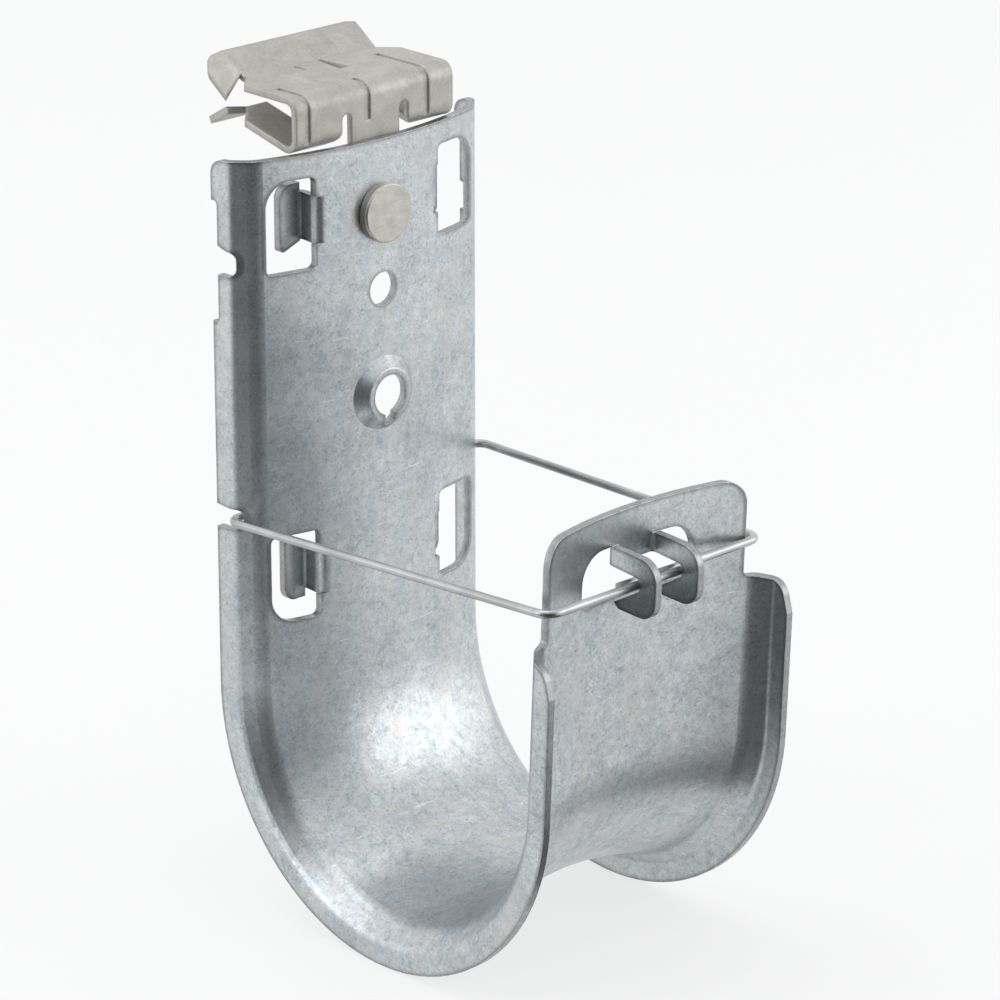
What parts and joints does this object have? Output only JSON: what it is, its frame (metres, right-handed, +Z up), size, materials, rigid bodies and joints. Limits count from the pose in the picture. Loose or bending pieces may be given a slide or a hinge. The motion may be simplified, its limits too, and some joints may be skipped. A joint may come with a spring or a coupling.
{
  "type": "J hook cable support with beam flange clip",
  "caption": "J-shaped formed strip hook that cradles a cable bundle, with a swinging wire retainer and a riveted spring clip that bites onto a beam flange.",
  "frame": {"origin": "midway between the tips of the upper and lower teeth of the flange clip's jaws, on the hook's plane of symmetry, where the beam flange is gripped", "axes": "+Z up along the back leg, -Y towards the cable side and the front leg, X along the cable run"},
  "size_m": [0.0526, 0.0849, 0.1291],
  "materials": {
    "galvanised_strip": "mottled matt galvanised",
    "bright_wire": "bright satin",
    "plated_spring_steel": "warm satin plated",
    "rivet_steel": "brushed"
  },
  "bodies": {
    "hook": {"j_hook": "galvanised_strip", "flange_clip": "plated_spring_steel", "rivet": "rivet_steel"},
    "retainer": {"wire_retainer": "bright_wire"}
  },
  "joints": [
    {"name": "retainer_swing", "type": "hinge", "parent": "hook", "child": "retainer", "pos_m": [0, -0.0105, -0.0603], "axis": [-1, 0, 0], "range_deg": [0, 75]}
  ]
}
